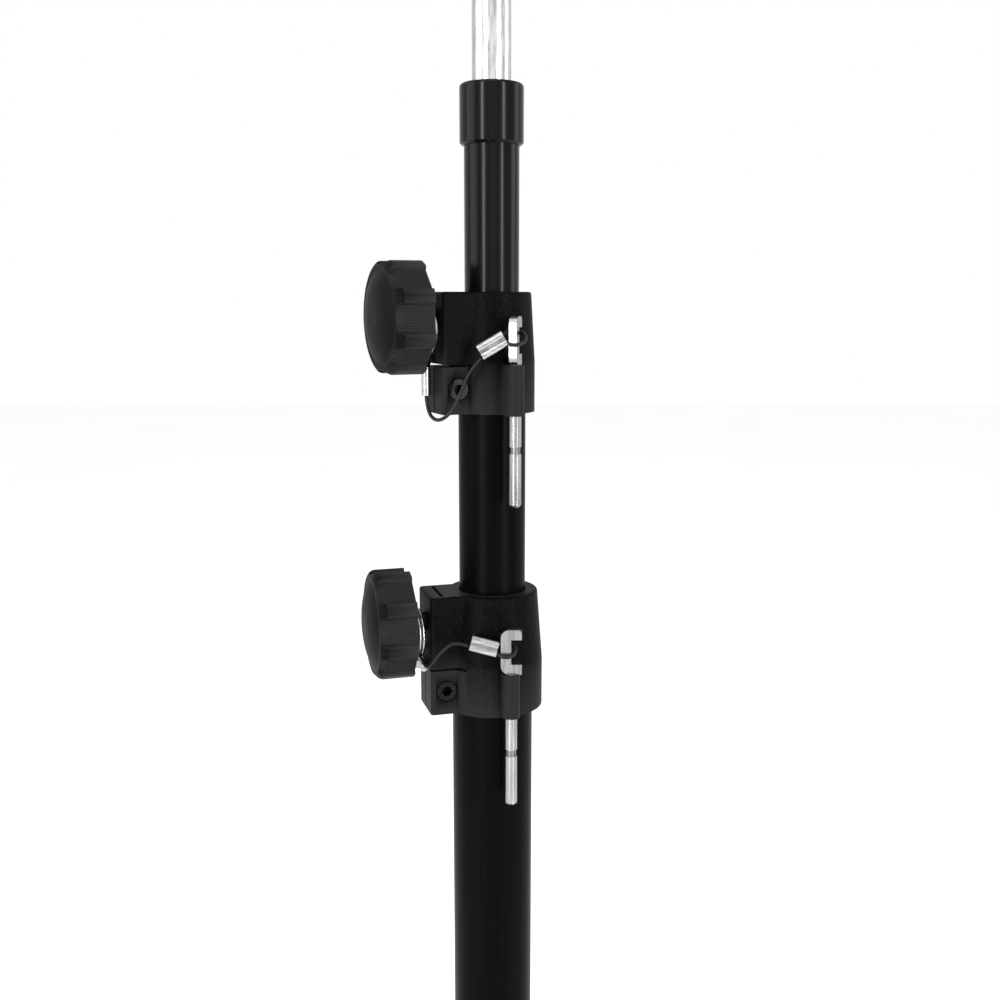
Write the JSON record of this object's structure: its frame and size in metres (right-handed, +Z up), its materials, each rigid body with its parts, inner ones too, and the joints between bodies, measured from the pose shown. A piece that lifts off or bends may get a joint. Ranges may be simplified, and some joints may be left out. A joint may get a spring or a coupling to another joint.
{
  "type": "c stand",
  "caption": "Telescoping light stand column with clamp collars, lobed knobs and tethered pins on a three-leg turtle base.",
  "frame": {"origin": "on the floor, at the middle of the base's flat underside, on the column's axis", "axes": "+Z up along the column; the knobs point to -X and slightly to -Y; the fixed leg points to -Y"},
  "size_m": [0.5148, 0.4464, 0.7415],
  "materials": {
    "speckled_black_casting": "satin, fine speckle",
    "knob_nylon": "satin",
    "black_wire": "satin",
    "ferrule_aluminium": "bright",
    "pin_zinc": "bright zinc",
    "bush_nylon": "matte",
    "foot_rubber": "matte",
    "base_casting": "satin",
    "top_tube_black": "glossy",
    "tube_black": "satin",
    "stud_steel": "bright",
    "ring_steel": "bright",
    "fastener_steel": "dark"
  },
  "bodies": {
    "base": {"base_spindle": "base_casting", "base_cup": "base_casting", "base_bolt": "fastener_steel", "leg_1_ring": "base_casting", "leg_1_tube": "tube_black", "leg_1_foot": "foot_rubber", "bottom_tube": "tube_black", "lower_collar": "speckled_black_casting", "lower_pinch_screw": "fastener_steel", "lower_pinch_nut": "fastener_steel", "lower_knob_nut": "fastener_steel", "lower_split_ring": "ring_steel", "lower_ring_loop": "black_wire", "lower_ring_ferrule": "ferrule_aluminium", "lower_tether": "black_wire"},
    "leg_2": {"leg_2_ring": "base_casting", "leg_2_tube": "tube_black", "leg_2_foot": "foot_rubber"},
    "leg_3": {"leg_3_ring": "base_casting", "leg_3_tube": "tube_black", "leg_3_foot": "foot_rubber"},
    "middle_section": {"middle_tube": "tube_black", "middle_tube_bush": "bush_nylon", "upper_collar": "speckled_black_casting", "upper_pinch_screw": "fastener_steel", "upper_pinch_nut": "fastener_steel", "upper_knob_nut": "fastener_steel", "upper_split_ring": "ring_steel", "upper_ring_loop": "black_wire", "upper_ring_ferrule": "ferrule_aluminium", "upper_tether": "black_wire"},
    "top_section": {"top_tube": "top_tube_black", "top_tube_bush": "bush_nylon", "top_cap": "top_tube_black", "top_stud": "stud_steel"},
    "lower_shoe": {"lower_brake_shoe": "bush_nylon"},
    "lower_knob_and_screw": {"lower_knob": "knob_nylon", "lower_knob_screw": "fastener_steel"},
    "lower_pin_and_ferrule": {"lower_pin": "pin_zinc", "lower_pin_ferrule": "ferrule_aluminium", "lower_pin_loop": "black_wire"},
    "upper_shoe": {"upper_brake_shoe": "bush_nylon"},
    "upper_knob_and_screw": {"upper_knob": "knob_nylon", "upper_knob_screw": "fastener_steel"},
    "upper_pin_and_ferrule": {"upper_pin": "pin_zinc", "upper_pin_ferrule": "ferrule_aluminium", "upper_pin_loop": "black_wire"}
  },
  "joints": [
    {"name": "leg_2_swing", "type": "hinge", "parent": "base", "child": "leg_2", "pos_m": [0, 0, 0.0457], "axis": [0, 0, 1], "range_deg": [-95, 0]},
    {"name": "leg_3_swing", "type": "hinge", "parent": "base", "child": "leg_3", "pos_m": [0, 0, 0.0697], "axis": [0, 0, 1], "range_deg": [0, 95]},
    {"name": "middle_slide", "type": "slide", "parent": "base", "child": "middle_section", "axis": [0, 0, 1], "range_m": [-0.03, 0.225]},
    {"name": "top_slide", "type": "slide", "parent": "middle_section", "child": "top_section", "axis": [0, 0, 1], "range_m": [-0.058, 0.3]},
    {"name": "lower_shoe_slide", "type": "slide", "parent": "base", "child": "lower_shoe", "axis": [-0.9613, -0.2756, 0], "range_m": [0, 0.0015]},
    {"name": "lower_knob_turn", "type": "hinge", "parent": "lower_shoe", "child": "lower_knob_and_screw", "pos_m": [-0.04614, -0.01323, 0.459], "axis": [-0.9613, -0.2756, 0], "range_deg": [0, 360]},
    {"name": "lower_pin_lift", "type": "slide", "parent": "base", "child": "lower_pin_and_ferrule", "axis": [0, 0, 1], "range_m": [0, 0.02]},
    {"name": "upper_shoe_slide", "type": "slide", "parent": "middle_section", "child": "upper_shoe", "axis": [-0.9135, -0.4067, 0], "range_m": [0, 0.0015]},
    {"name": "upper_knob_turn", "type": "hinge", "parent": "upper_shoe", "child": "upper_knob_and_screw", "pos_m": [-0.0402, -0.0179, 0.5877], "axis": [-0.9135, -0.4067, 0], "range_deg": [0, 360]},
    {"name": "upper_pin_lift", "type": "slide", "parent": "middle_section", "child": "upper_pin_and_ferrule", "axis": [0, 0, 1], "range_m": [0, 0.02]}
  ],
  "couplings": [
    {"joint": "lower_shoe_slide", "follows": "lower_knob_turn", "m_per_rad": 0.00023873},
    {"joint": "upper_shoe_slide", "follows": "upper_knob_turn", "m_per_rad": 0.00023873}
  ]
}
